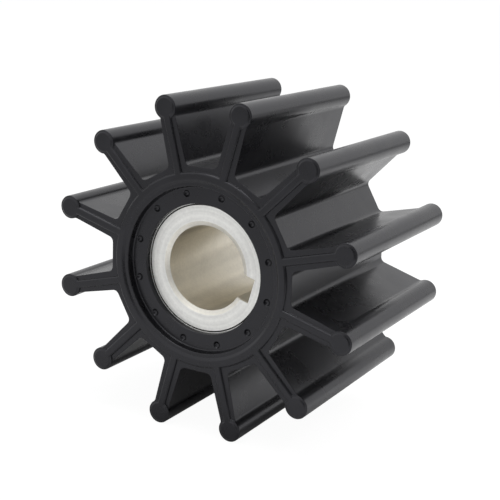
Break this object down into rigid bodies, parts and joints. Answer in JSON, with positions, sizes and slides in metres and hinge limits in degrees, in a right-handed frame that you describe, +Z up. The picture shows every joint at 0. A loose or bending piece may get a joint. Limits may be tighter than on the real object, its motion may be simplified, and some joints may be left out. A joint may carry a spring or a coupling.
{
  "type": "pump impeller",
  "caption": "Flexible vane impeller for a pump: moulded rubber hub with round-tipped radial vanes, bonded to a keyed metal hub insert.",
  "frame": {"origin": "middle of the shaft bore, halfway along its length", "axes": "+Y along the shaft bore, -Y out of the end that the picture shows; +Z up, between two vanes; +X to the right seen from the front, keyway just below it"},
  "size_m": [0.0784, 0.05, 0.0784],
  "materials": {
    "rubber": "moulded black nitrile rubber, smooth with a faint satin gloss",
    "insert_metal": "turned stainless steel, fine circular tool marks"
  },
  "bodies": {
    "root": {"rubber_rotor": "rubber", "hub_insert": "insert_metal"}
  },
  "joints": []
}
